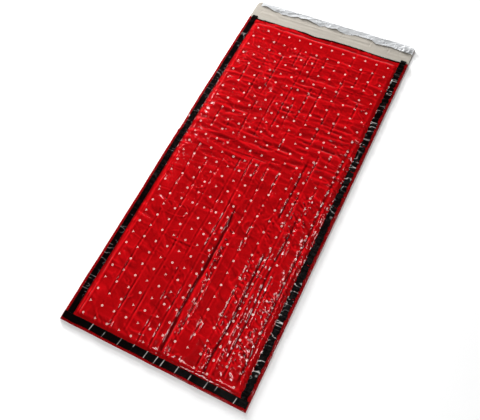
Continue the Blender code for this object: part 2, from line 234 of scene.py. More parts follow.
def cut_hole(mesh, low, high):
    """Removes the faces whose middle is inside a box."""
    cut = bmesh.new()
    cut.from_mesh(mesh)
    inside = []
    for face in cut.faces:
        middle = face.calc_center_median()
        if all(a < c < b for a, c, b in zip(low, middle, high)):
            inside.append(face)
    bmesh.ops.delete(cut, geom=inside, context="FACES")
    cut.to_mesh(mesh)
    cut.free()


def turned(u, edge, rise):
    """Bends a sheet over its edges: where each point ends up across, and how far it climbs."""
    over = np.clip(np.abs(u) - edge, 0, None)
    reach = np.minimum(np.abs(u), edge) - np.clip(over - rise, 0, None)
    return np.sign(u) * reach, np.minimum(over, rise)


print("lines 10 mm apart across the blanket:", len(spaced(-SIDE, SIDE, 10 * MM)))

# %% [markdown]
# ## Wrinkles as formulas
#
# Thin sheets wrinkle in three ways. Cloth makes soft rolling waves, which smooth noise gives.
# Laminated film and foil can't stretch, so they break into flat facets that meet at sharp creases:
# that is a coarse net of triangles with random heights, read at every point of a fine grid. Where
# a sheet has been folded or sewn it keeps a straight line, a narrow groove with a ridge beside it.
# Each is a function of x and y that works on whole arrays, so a fine grid takes a moment.

# %% The three kinds of wrinkle
TABLE = 256


def table(seed):
    """A square of random numbers from -1 to 1, the same for the same seed."""
    return np.random.default_rng(seed).uniform(-1, 1, (TABLE, TABLE))


def cells(x, y):
    """Which square of the table each place is in, and how far into it."""
    i, j = np.floor(x).astype(int), np.floor(y).astype(int)
    return i, j, x - i, y - j


def ramp(low, high, value):
    """0 below low, 1 above high, and a smooth rise between them."""
    t = np.clip((value - low) / (high - low), 0, 1)
    return t * t * (3 - 2 * t)


def waves(x, y, seed):
    """Smooth noise from -1 to 1, with one bump about every unit."""
    values = table(seed)
    i, j, u, v = cells(x, y)
    u, v = ramp(0, 1, u), ramp(0, 1, v)
    near = values[i % TABLE, j % TABLE] * (1 - u) + values[(i + 1) % TABLE, j % TABLE] * u
    far = values[i % TABLE, (j + 1) % TABLE] * (1 - u) + values[(i + 1) % TABLE, (j + 1) % TABLE] * u
    return near * (1 - v) + far * v


def facets(x, y, seed):
    """Flat triangles with random corners from -1 to 1, a unit wide, with bent edges."""
    values = table(seed)
    x = x + 0.4 * waves(x * 0.8, y * 0.8, seed + 1)
    y = y + 0.4 * waves(x * 0.8, y * 0.8, seed + 2)
    i, j, u, v = cells(x, y)
    near = values[i % TABLE, j % TABLE]
    far = values[(i + 1) % TABLE, (j + 1) % TABLE]
    right = values[(i + 1) % TABLE, j % TABLE]
    ahead = values[i % TABLE, (j + 1) % TABLE]
    first = near * (1 - u - v) + right * u + ahead * v
    second = far * (u + v - 1) + right * (1 - v) + ahead * (1 - u)
    return np.where(u + v < 1, first, second)


def ridges(x, y, seed):
    """Sharp ridges with rounded hollows between them, from -1 to 1."""
    return 1 - 2.6 * np.abs(waves(x, y, seed)) ** 0.8


def line_creases(x, y, seed):
    """Thin raised lines that wander, from 0 to 1."""
    return np.exp(-((waves(x, y, seed) / 0.07) ** 2))


def crease(distance, groove, ridge, width):
    """Across a fold: a groove at 0 with a ridge beside it."""
    beside = np.exp(-(((distance - 2 * width) / width) ** 2))
    return ridge * beside - groove * np.exp(-((distance / width) ** 2))


print("a row of facet heights:", facets(np.arange(4) / 2, np.zeros(4), 1).round(2))

# %% [markdown]
# ## Camera, floor and light
#
# The blanket is seen from above its foot end, a little to the right, on a white sweep. Film is a
# mirror for whatever is above it, and a bright ceiling would veil the red with white. So the
# ceiling is dark over pale walls, and the light comes from soft boxes. Three large ones light the
# cloth and are left out of reflections. Four small ones show only as reflections. They hang where
# a flat sheet doesn't mirror them to the camera and a tilted facet does, so creases sparkle.

# %% Camera
CAMERA_PLACE = (0.686, -1.089, 2.194)
CAMERA_AIM = (0.031, -0.191, 0.012)
CAMERA_ROLL = math.radians(-10.77)
camera = bpy.data.objects.new("camera", bpy.data.cameras.new("camera"))
camera.data.lens = 44.4
camera.data.sensor_width = 36
look = (Vector(CAMERA_AIM) - Vector(CAMERA_PLACE)).to_track_quat("-Z", "Y").to_matrix().to_4x4()
camera.matrix_world = Matrix.Translation(CAMERA_PLACE) @ look @ Matrix.Rotation(CAMERA_ROLL, 4, "Z")
bpy.context.scene.collection.objects.link(camera)
bpy.context.scene.camera = camera
bpy.context.scene.view_settings.view_transform = "Standard"
print("camera at", CAMERA_PLACE, "with a lens of", round(camera.data.lens, 1), "mm")


# %% Floor
# Uncoated paper: dead matt white, with no mirror image of the blanket in it.
sweep = material("white_paper_sweep", "#FDFDFD", 0.9, Specular_IOR_Level=0.0)[0]
FLOOR_LINES = spaced(-5, 5, 1)
floor = cloth("floor", FLOOR_LINES, FLOOR_LINES, lambda u, v: (u, v, u * 0 - 0.5 * MM), sweep)


# %% Light
def soft_box(name, at, size, watts):
    """A square area lamp that faces the middle of the blanket."""
    light = bpy.data.lights.new(name, "AREA")
    light.size = size
    light.energy = watts
    made = bpy.data.objects.new(name, light)
    bpy.context.scene.collection.objects.link(made)
    turn = (-Vector(at)).to_track_quat("-Z", "Y").to_matrix().to_4x4()
    made.matrix_world = Matrix.Translation(at) @ turn
    return made


LARGE_LAMPS = (
    ("key_head_left", (-1.9, 2.5, 3.0), 1.3, 105),
    ("raking_head_left", (-3.4, 3.3, 1.15), 1.6, 520),
    ("foot_fill", (0.9, -3.2, 3.4), 1.6, 105),
)
for lamp in LARGE_LAMPS:
    soft_box(*lamp).visible_glossy = False
    print("lamp", lamp[0], lamp[3], "W")

# %% Small lamps for the gloss
# Flat film mirrors a patch of the ceiling from x = -1.8 to 0 m. These hang just outside it.
SPARKLES = {
    "sparkle_right": (0.42, -0.15, 2.8),
    "sparkle_far_right": (0.75, 0.9, 2.8),
    "sparkle_foot": (-0.35, -1.45, 2.8),
    "sparkle_head_left": (-2.5, 1.9, 2.8),
}
for name, at in SPARKLES.items():
    soft_box(name, at, 0.34, 7).visible_diffuse = False
print(len(SPARKLES), "lamps for the gloss")

# %% The room
world = bpy.data.worlds.new("dark_ceiling_pale_walls")
world.use_nodes = True
room = world.node_tree
around = node(room, "TexCoord").outputs["Generated"]
height = node(room, "SeparateXYZ", {0: around}).outputs[2]
fade = {"Value": height, "From Min": 0.0, "From Max": 0.55, "To Min": 0.9, "To Max": 0.015}
walls = node(room, "MapRange", fade, interpolation_type="SMOOTHSTEP")
feed(room, room.nodes["Background"], {"Color": (1, 1, 1, 1), "Strength": walls.outputs[0]})
bpy.context.scene.world = world
print("room:", world.name)

# %% [markdown]
# ## Red laminated film
#
# The cover is polyester film on a printed red backing. The eye sees two surfaces: a saturated red
# a little below, and a clear gloss on top that carries the highlights. Principled's coat is that
# second surface, so the red underneath can stay rough. The white marks are printed on the red: a
# dot with a hole, three petals, and a crescent, in a plain repeat. They are worked out from the
# place in the piece, because a grid of paint would need a far finer mesh.

# %% The printed marks
MARK_ROWS, MARK_COLUMNS = 30, 13
MARK_FROM_SIDE = 76 * MM
MARK_FROM_HEAD = 57 * MM
MARK_FROM_FOOT = 60 * MM
MARK_RADIUS = 4.9 * MM
MARK_PITCH_X = 2 * (SIDE - MARK_FROM_SIDE) / (MARK_COLUMNS - 1)
MARK_PITCH_Y = (COVER_HEAD - MARK_FROM_HEAD - FOOT - MARK_FROM_FOOT) / (MARK_ROWS - 1)

# Each step is a sum: its name, its kind, and what goes in, which is a number or an earlier step.
MARK_STEPS = (
    ("column", "DIVIDE", "across", MARK_PITCH_X),
    ("from_first_row", "SUBTRACT", "along", FOOT + MARK_FROM_FOOT),
    ("row", "DIVIDE", "from_first_row", MARK_PITCH_Y),
    ("nearest_column", "ROUND", "column"),
    ("nearest_row", "ROUND", "row"),
    ("past_column", "SUBTRACT", "column", "nearest_column"),
    ("past_row", "SUBTRACT", "row", "nearest_row"),
    ("x", "MULTIPLY", "past_column", MARK_PITCH_X / MARK_RADIUS),
    ("y", "MULTIPLY", "past_row", MARK_PITCH_Y / MARK_RADIUS),
    ("xx", "MULTIPLY", "x", "x"),
    ("yy", "MULTIPLY", "y", "y"),
    ("xx_yy", "ADD", "xx", "yy"),
    ("radius", "SQRT", "xx_yy"),
    ("angle", "ARCTAN2", "y", "x"),
    ("disc", "LESS_THAN", "radius", 0.95),
    ("hole", "LESS_THAN", "radius", 0.30),
    ("ring", "SUBTRACT", "disc", "hole"),
    ("tripled", "MULTIPLY", "angle", 3.0),
    ("lobes", "COSINE", "tripled"),
    ("petal_edge", "MULTIPLY_ADD", "lobes", 0.45, 0.62),
    ("petals", "LESS_THAN", "radius", "petal_edge"),
    ("bite_x", "ADD", "x", 0.55),
    ("bite_xx", "MULTIPLY", "bite_x", "bite_x"),
    ("bite_xx_yy", "ADD", "bite_xx", "yy"),
    ("bite", "LESS_THAN", "bite_xx_yy", 0.20),
    ("bitten", "SUBTRACT", "disc", "bite"),
    ("crescent", "MAXIMUM", "bitten", 0.0),
    ("diagonal", "ADD", "nearest_column", "nearest_row"),
    ("every_second", "PINGPONG", "diagonal", 1.0),
    ("is_ring", "LESS_THAN", "every_second", 0.5),
    ("steeper", "ADD", "diagonal", "nearest_row"),
    ("every_fourth", "PINGPONG", "steeper", 2.0),
    ("is_petals", "LESS_THAN", "every_fourth", 1.5),
    ("isnt_petals", "SUBTRACT", 1.0, "is_petals"),
    ("petals_there", "MULTIPLY", "is_petals", "petals"),
    ("crescent_there", "MULTIPLY", "isnt_petals", "crescent"),
    ("other", "ADD", "petals_there", "crescent_there"),
    ("isnt_ring", "SUBTRACT", 1.0, "is_ring"),
    ("ring_there", "MULTIPLY", "is_ring", "ring"),
    ("other_there", "MULTIPLY", "isnt_ring", "other"),
    ("mark", "ADD", "ring_there", "other_there"),
    ("off_middle", "ABSOLUTE", "nearest_column"),
    ("in_columns", "LESS_THAN", "off_middle", MARK_COLUMNS / 2),
    ("from_middle_row", "SUBTRACT", "nearest_row", (MARK_ROWS - 1) / 2),
    ("off_middle_row", "ABSOLUTE", "from_middle_row"),
    ("in_rows", "LESS_THAN", "off_middle_row", MARK_ROWS / 2),
    ("in_field", "MULTIPLY", "in_columns", "in_rows"),
    ("white", "MULTIPLY", "mark", "in_field"),
)


def printed_marks(tree, point):
    """1 where the print is white and 0 elsewhere."""
    split = node(tree, "SeparateXYZ", {0: point})
    made = {"across": split.outputs[0], "along": split.outputs[1]}
    for name, kind, *values in MARK_STEPS:
        inputs = {index: made.get(value, value) for index, value in enumerate(values)}
        made[name] = node(tree, "Math", inputs, operation=kind).outputs[0]
    return made["white"]


print(MARK_ROWS * MARK_COLUMNS, "marks,", round(MARK_PITCH_X / MM, 1), "mm apart across")

# %% Film finish
def red_film():
    """Film laminated over a printed red backing: deep red under a clear gloss that glints.

    Painted shade darkens the red in creases and a painted highlight lightens it on ridges, and
    creases finer than the mesh holds are drawn 11 mm apart.
    """
    made, tree, shader = material(
        "laminated_red_film", "#A8040C", 0.5, Specular_IOR_Level=0.0, Coat_Weight=1.0, Coat_Roughness=0.10
    )
    point = node(tree, "TexCoord").outputs["Object"]
    # The stored amount of painted shade: most deep in a crease, least on a ridge.
    relief_and_painted_shade = node(tree, "Attribute", attribute_name="relief_and_painted_shade").outputs["Fac"]
    drift = node(tree, "TexNoise", {"Vector": point, "Scale": 9.0, "Detail": 3.0}).outputs[0]
    swing = node(tree, "Math", {0: drift, 1: 0.5}, operation="SUBTRACT").outputs[0]
    depth = node(tree, "Math", {0: swing, 1: 0.25, 2: relief_and_painted_shade}, operation="MULTIPLY_ADD").outputs[0]
    # Painted highlight on ridges (#C60C14), the film's own red on flat film, painted shade in grooves
    # (#3A0103).
    reds_with_painted_shade = node(tree, "ValToRGB", {0: depth})
    reds_with_painted_shade.color_ramp.elements[0].color = linear("#C60C14")
    reds_with_painted_shade.color_ramp.elements[1].color = linear("#3A0103")
    reds_with_painted_shade.color_ramp.elements.new(0.3).color = linear("#9F050A")
    colours = {0: printed_marks(tree, point), 6: reds_with_painted_shade.outputs[0], 7: linear("#DCB0A9")}
    printed = node(tree, "Mix", colours, data_type="RGBA")
    creased = {"Vector": point, "Scale": 1 / (11 * MM), "Detail": 5.0, "Roughness": 0.62}
    fine = node(tree, "TexNoise", creased).outputs[0]
    relief = node(tree, "Bump", {"Height": fine, "Distance": 1.6 * MM, "Strength": 0.35})
    feed(tree, shader, {"Base Color": printed.outputs[2], "Normal": relief.outputs[0]})
    return made


RED_FILM = red_film()


# %% [markdown]
# ## The film's shape
#
# The panel is a low cushion: flat at its hem and a little higher over the felt. On that come the
# film's own wrinkles. The head half was rolled up and shows soft waves across. The foot half was
# folded, and shows long creases along the heating channels, with bands of fine crackle where the
# film was crushed, most of all towards the right edge.

# %% Where the film is creased
FILM_STEP = 3.1 * MM
FILM_INSET = 1.2 * MM
FILM_LIFT = 0.6 * MM
HEM = 38 * MM
SLOPE = 20 * MM
HEAD_HEM = 20 * MM
HEM_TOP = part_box("cover_film_lower")[0].z + 0.8 * MM
FIELD_HEIGHT = 13.6 * MM
FLAP_ZONE = (0.655, 0.716)  # where the folded flap begins to press the film down, and where it does
CHANNELS = [x * MM for x in (-349, -275, -208, -146, -78, -26, 12, 53, 105, 169, 226, 278, 351)]
QUARTER_FOLDS = [FOOT + share * 478 * MM for share in (1, 2, 3)]
# Crushed strips along the blanket: middle, half width, foot end, head end and strength.
CRUSHED = [
    (0.352, 0.018, -0.88, 0.45, 1.5),
    (0.304, 0.026, -0.80, -0.36, 2.2),
    (0.182, 0.018, -0.88, -0.05, 1.6),
    (0.042, 0.014, -0.88, -0.20, 1.5),
    (0.240, 0.014, -0.90, -0.45, 1.2),
    (0.270, 0.080, -0.30, 0.04, 1.3),
    (0.120, 0.030, -0.22, -0.05, 0.9),
    (-0.200, 0.060, -0.52, -0.40, 0.7),
    (-0.100, 0.080, -0.88, -0.80, 0.8),
    (0.150, 0.120, -0.88, -0.82, 0.9),
]
# Deep folds: place across, foot end, head end, half width and height, where below 0 is a valley.
DEEP_FOLDS = [
    (0.018, -0.88, -0.18, 0.007, -3.0),
    (0.033, -0.86, -0.26, 0.006, 2.0),
    (0.231, -0.89, -0.45, 0.006, 2.6),
    (0.209, -0.89, -0.30, 0.006, -2.2),
    (0.262, -0.80, -0.10, 0.005, -1.6),
    (0.335, -0.86, 0.30, 0.005, -1.6),
    (0.196, -0.20, 0.16, 0.005, -1.5),
]


def deep_folds(x, y):
    """The height of the deepest folds, in millimetres, where below 0 is a valley."""
    z = np.zeros_like(x)
    for index, (across, foot_end, head_end, half, height) in enumerate(DEEP_FOLDS):
        off = x - across - 5 * MM * waves(y / 0.2, y * 0 + index, 35)
        along = ramp(foot_end, foot_end + 0.06, y) * (1 - ramp(head_end - 0.08, head_end, y))
        z = z + height * along * np.exp(-((off / half) ** 2))
    return z


def film_height(x, y):
    """The film's height above the floor at rest."""
    shift = MM * (2.2 + 1.3 * waves(x / 0.03, y / 0.03, 36) + 0.9 * waves(x / 0.09, y / 0.09, 37))
    inside = (
        ramp(HEM, HEM + SLOPE, SIDE - np.abs(x) - shift)
        * ramp(HEM, HEM + SLOPE, y - FOOT - shift)
        * ramp(HEAD_HEM, HEAD_HEM + SLOPE, COVER_HEAD - y - shift)
    )
    rise = (
        ramp(HEM + 0.5 * SLOPE, HEM + 4 * SLOPE, SIDE - np.abs(x))
        * ramp(HEM + 0.5 * SLOPE, HEM + 3 * SLOPE, y - FOOT)
    )
    calm = np.maximum(0.4 + 0.6 * inside, 0.85 * ramp(0.72, 0.76, y))
    foot_half = 1 - ramp(-0.14, 0.12, y + 0.05 * waves(x / 0.11, y / 0.2, 4))
    head_half = 1 - foot_half
    z = FILM_LIFT + HEM_TOP + (FIELD_HEIGHT - HEM_TOP) * inside + 2.9 * MM * rise * inside
    z = z + MM * calm * head_half * (
        3.5 * waves(x / 0.085, y / 0.021, 11) * (0.65 + 0.35 * waves(x / 0.15, y / 0.15, 12))
        + 1.9 * facets(x / 0.055, y / 0.026, 13)
        + 1.3 * ridges(x / 0.07, y / 0.024, 15)
        + 0.8 * line_creases(x / 0.09, y / 0.03, 16)
        + 0.4 * waves(x / 0.030, y / 0.009, 14)
    )
    z = z + MM * calm * foot_half * (
        2.8 * facets(x / 0.060, y / 0.080, 21)
        + 2.1 * facets(x / 0.040, y / 0.026, 22)
        + 1.3 * line_creases(x / 0.11, y / 0.05, 23) * ramp(-0.2, 0.5, waves(x / 0.08, y / 0.08, 24))
    )
    for index, seam in enumerate(CHANNELS):
        off = x - seam - 3 * MM * waves(y / 0.12, y * 0 + index, 31)
        patchy = ramp(-0.3, 0.5, waves(y / 0.09, y * 0 + index, 32))
        patchy = 0.15 + 0.25 * foot_half + (0.85 - 0.25 * foot_half) * patchy
        z = z + MM * inside * patchy * crease(off, 2.1, 0.35 + 1.1 * foot_half, 3.2 * MM)
    for index, fold in enumerate(QUARTER_FOLDS):
        off = y - fold - 4 * MM * waves(x / 0.15, x * 0 + index, 33)
        shown = ramp(-0.4, 0.6, waves(x / 0.10, x * 0 + index, 34))
        z = z + MM * calm * shown * crease(off, 1.0, 0.8, 3.5 * MM)
    z = z + MM * inside * deep_folds(x, y)
    crushed = np.zeros_like(x)
    for across, half, foot_end, head_end, strength in CRUSHED:
        along = ramp(foot_end, foot_end + 0.05, y) * (1 - ramp(head_end - 0.10, head_end, y))
        patchy = 0.25 + 0.75 * ramp(-0.5, 0.3, waves(x / 0.02, y / 0.05, 41))
        crushed = np.maximum(crushed, strength * along * patchy * np.exp(-(((x - across) / half) ** 2)))
    crushed = np.maximum(crushed, 0.5 * ramp(0.2, 0.7, waves(x / 0.06, y / 0.06, 42)))
    z = z + MM * calm * crushed * (
        1.3 * facets(x / 0.011, y / 0.008, 43) + 1.0 * facets(x / 0.022, y / 0.013, 44)
    )
    under_flap = inside * ramp(*FLAP_ZONE, y)
    z = z + under_flap * (14.6 * MM + 0.35 * (z - 16.5 * MM) - z)
    lowest = (8.7 + 4.9 * inside) * MM
    under = np.clip(lowest - z, 0, None)
    z = z + under - 0.2 * MM * (1 - np.exp(-under / (2 * MM)))
    highest = (19.0 - 3.7 * ramp(*FLAP_ZONE, y)) * MM
    over = np.clip(z - highest, 0, None)
    return z - over + 0.35 * MM * (1 - np.exp(-over / (1.5 * MM)))


def hollows(x, y):
    """How deep in a crease the film is, which sets its painted shade: 0 on a ridge, 0.3 on flat film and 1
    in a groove.
    """
    reach = 8 * MM
    around = film_height(x + reach, y) + film_height(x - reach, y)
    around = around + film_height(x, y + reach) + film_height(x, y - reach)
    # The hem outside the bands and the deep valleys get extra painted shade.
    hem = 0.25 * ramp(SIDE - 14 * MM, SIDE - 10 * MM, np.maximum(np.abs(x), -y - HEAD + SIDE))
    valley = 0.24 * np.clip(-deep_folds(x, y), 0, 3)
    return 0.29 + hem + valley + 0.40 * (around / 4 - film_height(x, y)) / MM


print("film height at the middle:", (film_height(np.zeros(1), np.zeros(1)) / MM).round(1), "mm")

# %% The felt under the film
def needled_felt():
    """Grey fibre punched into a mat: dull and fuzzy, with fibre bundles drawn 1.5 mm wide to show."""
    made, tree, shader = material("needled_felt", "#B3B3B1", 0.95, Sheen_Weight=0.3)
    point = node(tree, "TexCoord").outputs["Object"]
    fibres = node(tree, "TexNoise", {"Vector": point, "Scale": 1 / (1.5 * MM), "Detail": 3.0})
    relief = node(tree, "Bump", {"Height": fibres.outputs[0], "Distance": 0.6 * MM, "Strength": 0.6})
    feed(tree, shader, {"Normal": relief.outputs[0]})
    return made


FELT = needled_felt()


def wadding(zone, low, high):
    """The thin felt under the film, which takes on its wrinkles."""

    def surface(u, v):
        """2 mm under the film's surface."""
        return u, v, np.maximum(film_height(u, v) - 2 * MM, 13.02 * MM)

    made = cloth(
        f"wadding_{zone}", spaced(-0.346, 0.346, 5 * MM), spaced(low, high, 5 * MM), surface, FELT, 0.1 * MM
    )
    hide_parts(f"cover_felt_{zone}")
    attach(made, f"cover_{zone}")


wadding("lower", FOOT + 58 * MM, FOLD - 0.5 * MM)
wadding("upper", FOLD + 0.5 * MM, COVER_HEAD - 41 * MM)

# %% The film's two pieces
FILM_REACH = SIDE - FILM_INSET
TURN_DOWN = 2.0 * MM
FOLD_FACE = 0.1 * MM
LIP = 11 * MM
FILM_UNDER = 7.35 * MM
FACE_FOOT = 8.45 * MM


def sway(x, y):
    """How far the loose edges of the cover wander sideways from straight."""
    dx = 2.0 * MM * ramp(0.33, SIDE, np.abs(x)) * waves(y / 0.10, x * 0 + np.sign(x), 51)
    dx = dx - 3.0 * MM * ramp(0.36, SIDE, -x) * np.exp(-(((y - FOLD) / (8 * MM)) ** 2))
    dy = 3.0 * MM * ramp(COVER_HEAD - 0.05, COVER_HEAD, y) * waves(x / 0.055, y * 0, 52)
    dy = dy + 2.2 * MM * (1 - ramp(FOOT, FOOT + 0.05, y)) * waves(x / 0.07, y * 0, 53)
    return dx, dy


def film_surface(u, v):
    """Over the panel, down its outer edges and back under them by the width of a lip."""
    x, down_x = turned(u, FILM_REACH, TURN_DOWN)
    y, down_y = turned(v, -FOOT - FILM_INSET, TURN_DOWN)
    at_fold = np.abs(v - FOLD) < FOLD_FACE / 2
    y = np.where(at_fold, FOLD + np.sign(v - FOLD) * FOLD_FACE, y)
    down = np.maximum(np.maximum(down_x, down_y) / TURN_DOWN, at_fold)
    z = film_height(x, y)
    z = z + (np.where(at_fold, FACE_FOOT, FILM_UNDER) - z) * down
    dx, dy = sway(x, y)
    return x + dx, y + dy, z


def film_piece(zone, along):
    """One of the two pieces of film, with its lips."""
    side = FILM_REACH + TURN_DOWN
    across = lines(
        spaced(-side - LIP, -side, LIP / 2), [-side + TURN_DOWN / 2],
        spaced(-FILM_REACH, FILM_REACH, FILM_STEP),
        [side - TURN_DOWN / 2], spaced(side, side + LIP, LIP / 2),
    )
    made = cloth(f"film_{zone}", across, along, film_surface, RED_FILM)
    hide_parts(f"cover_film_{zone}")
    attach(made, f"cover_{zone}")
    points = coordinates(made.data)
    # How deep in a crease each point is, for the painted shade and painted highlight in the red.
    store(made, "relief_and_painted_shade", hollows(points[:, 0], points[:, 1]), 0.92)
    return made


FOOT_TURN = FOOT + FILM_INSET
film_piece("lower", lines(
    spaced(FOOT_TURN - TURN_DOWN - LIP, FOOT_TURN - TURN_DOWN, LIP / 2), [FOOT_TURN - TURN_DOWN / 2],
    spaced(FOOT_TURN, FOLD - FOLD_FACE, FILM_STEP), [FOLD - 5 * FOLD_FACE, FOLD - FOLD_FACE / 4],
))
film_piece("upper", lines(
    [FOLD + FOLD_FACE / 4, FOLD + 5 * FOLD_FACE], spaced(FOLD + FOLD_FACE, COVER_HEAD, FILM_STEP),
))

# %% [markdown]
# ## Black bands
#
# A woven tape with a smooth coating is sewn over the edges of the felt. It is stiffer than the
# film, so the sewing gathers it into small puckers across its length. They are strong on the
# right, which is the side that bends when the blanket opens, and slight on the left. The lines
# that cross the foot band are the film's long creases, pressed through it. Their pale glints, and
# those on the puckers' ridges, are painted highlights.


# %% Tape finish
def coated_tape(name, colour, roughness, rib, depth):
    """Woven tape with a thin coating: nearly black, with a soft gloss over its ribs."""
    made, tree, shader = material(name, colour, roughness, Specular_IOR_Level=0.10)
    point = node(tree, "TexCoord").outputs["Object"]
    weave = node(tree, "TexNoise", {"Vector": point, "Scale": 1 / rib, "Detail": 2.0}).outputs[0]
    wear = node(tree, "TexNoise", {"Vector": point, "Scale": 18.0, "Detail": 4.0}).outputs[0]
    dull = node(tree, "Math", {0: wear, 1: 0.25, 2: roughness - 0.12}, operation="MULTIPLY_ADD")
    relief = node(tree, "Bump", {"Height": weave, "Distance": depth, "Strength": 0.6})
    feed(tree, shader, {"Roughness": dull.outputs[0], "Normal": relief.outputs[0]})
    return made


def painted_glint_lines(finish, glint_colour):
    """Paints pale highlights, the glints on the tape's creases and puckers, where the stored amount is near
    1.
    """
    tree = finish.node_tree
    shader = tree.nodes["Principled BSDF"]
    point = node(tree, "TexCoord").outputs["Object"]
    painted_glint = node(tree, "Attribute", attribute_name="painted_glint").outputs["Fac"]
    broken = node(tree, "TexNoise", {"Vector": point, "Scale": 1 / (4 * MM), "Detail": 2.0}).outputs[0]
    fuller = node(tree, "Math", {0: broken, 1: 0.35}, operation="ADD").outputs[0]
    share = node(tree, "Math", {0: painted_glint, 1: fuller}, operation="MULTIPLY").outputs[0]
    plain = list(shader.inputs["Base Color"].default_value)
    # The tape's own black, with a pale painted highlight mixed in.
    colours = {0: share, 6: plain, 7: linear(glint_colour)}
    tone = node(tree, "Mix", colours, data_type="RGBA", clamp_factor=True)
    feed(tree, shader, {"Base Color": tone.outputs[2]})


BLACK_BAND = coated_tape("coated_black_tape", "#040202", 0.34, 1.4 * MM, 0.3 * MM)
# A pale painted highlight on the band's creases and puckers.
painted_glint_lines(BLACK_BAND, "#D5CFCC")

# %% Bands
BAND_IN = SIDE - 39.5 * MM
BAND_OUT = SIDE - 12 * MM
BAND_THICK = 0.6 * MM
TAB_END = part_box("base_loop_tape_left_upper")[1].y
PUCKER = {"left": 0.45, "right": 1.5}
SLIPS = (4, -3, 6, -5, 2, 9, -4, 5, -2, 7, -6, 3)
CROSSINGS = [seam + slip * MM for seam, slip in zip(CHANNELS[1:], SLIPS)]


def puckers(x, y):
    """Cross ridges of the gathered side bands, from -1 to 1."""
    return ridges(y / 0.0115, x / 0.035, 61)


def crossing(x, y):
    """1 on a film crease that runs on across the foot band, and 0 beside it."""
    return sum(
        np.exp(-(((x - line - 0.16 * (y - FOOT - 24 * MM)) / (1.3 * MM)) ** 2)) for line in CROSSINGS
    )


def band_height(x, y, pucker):
    """The top of a band: the film's height, plus its gathers and the creases under it."""
    at_side = np.abs(x) > BAND_IN - MM
    ribs = 0.9 + 0.9 * puckers(x, y) + 0.4 * waves(y / 0.0045, x / 0.02, 62)
    gather = np.where(at_side, pucker * ribs, 0)
    foot = 1 - ramp(FOOT + 0.038, FOOT + 0.045, y)
    return film_height(x, np.minimum(y, COVER_HEAD)) + MM * (0.9 + gather + foot * 1.1 * crossing(x, y))


def side_band(side, zone, ends):
    """A band along one side of one zone of the cover."""
    sign = -1 if side == "left" else 1

    def surface(u, v):
        """The band's middle is straight and its edges wander with the gathers."""
        pucker = PUCKER[side]
        edge = ramp(0.3, 1, np.abs(u - (BAND_IN + BAND_OUT) / 2) * 2 / (BAND_OUT - BAND_IN)) * pucker ** 2
        x = sign * (u + 1.1 * MM * edge * waves(v / 0.007, np.sign(u - 0.38), 63))
        z = band_height(x, v, pucker)
        beyond = ramp(COVER_HEAD, TAB_END, v)
        dx, dy = sway(x, v)
        return x + dx, v + dy * (1 - beyond), z + (7.2 * MM - z) * beyond

    across = spaced(BAND_IN, BAND_OUT, 2 * MM)
    made = cloth(
        f"band_{side}_{zone}", across[:: sign], spaced(*ends, 1.9 * MM), surface, BLACK_BAND, BAND_THICK
    )
    points = coordinates(made.data)
    # Painted highlight along the ridges of the puckers, strongest on the right.
    fold = ramp(0.62, 0.98, puckers(points[:, 0], points[:, 1])) * PUCKER[side] * 0.75
    store(made, "painted_glint", fold * ramp(-0.5, 0.5, waves(points[:, 1] / 0.05, points[:, 0] * 0, 67)))
    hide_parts(f"cover_band_{side}_{zone}")
    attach(made, f"cover_{zone}")
    return made


for side in ("left", "right"):
    side_band(side, "lower", (FOOT + 38 * MM, FOLD - SEAM_GAP / 2))
    side_band(side, "upper", (FOLD + SEAM_GAP / 2, TAB_END))


def foot_surface(u, v):
    """The foot band, gathered a little at its right end."""
    dx, dy = sway(u, v)
    pucker = 0.15 + 0.7 * ramp(0.30, 0.36, u)
    return u + dx, v + dy + 0.6 * MM * waves(u / 0.01, v * 0, 65), band_height(u, v, pucker)


BAND_REACH = SIDE - 2.5 * MM
fine = [spaced(line - 4 * MM, line + 4 * MM, 0.9 * MM) for line in CROSSINGS]
across = lines(spaced(-BAND_REACH, BAND_REACH, 3 * MM), *fine)
made = cloth(
    "band_foot", across, spaced(FOOT + 10 * MM, FOOT + 38 * MM, 2 * MM), foot_surface, BLACK_BAND, BAND_THICK
)
points = coordinates(made.data)
# Painted highlight along the film creases that cross the band.
patchy = ramp(-0.7, 0.2, waves(points[:, 0] / 0.03, points[:, 1] / 0.012, 68))
store(made, "painted_glint", 0.95 * crossing(points[:, 0], points[:, 1]) * patchy)
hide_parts("cover_band_foot")
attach(made, "cover_lower")

# %% Binding at the cover's head edge
BINDING_WIDTH = 7 * MM
BINDING_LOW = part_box("cover_head_binding")[0].z


def binding_surface(u, v):
    """The flat tape's width runs along v. It folds in half over the film's edge."""
    top = film_height(u, u * 0 + COVER_HEAD) + 0.4 * MM
    share = (np.abs(v) - 1.5 * MM) / BINDING_WIDTH
    y = COVER_HEAD + 0.6 * MM - np.clip(np.abs(v) - 1.5 * MM, 0, None)
    z = np.where(v > 0, top, BINDING_LOW) + 0.3 * MM * waves(u / 0.01, share, 66)
    z = np.where(np.abs(v) < 1 * MM, (top + BINDING_LOW) / 2, z)
    return u, y + sway(u, u * 0 + COVER_HEAD)[1], z


half = BINDING_WIDTH + 1.5 * MM
made = cloth(
    "head_binding", spaced(-BAND_IN, BAND_IN, 3 * MM),
    lines(spaced(-half, -1.5 * MM, 2 * MM), [0], spaced(1.5 * MM, half, 2 * MM))[::-1],
    binding_surface, BLACK_BAND, 0.3 * MM,
)
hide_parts("cover_head_binding")
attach(made, "cover_upper")

# %% [markdown]
# ## Stitches
#
# A row of lockstitch holds the hem outside each band. A stitch shows as a short bead of thread
# that dips into the film at both ends. There are hundreds, so each is an ico sphere stretched
# along its seam, with only twenty faces.


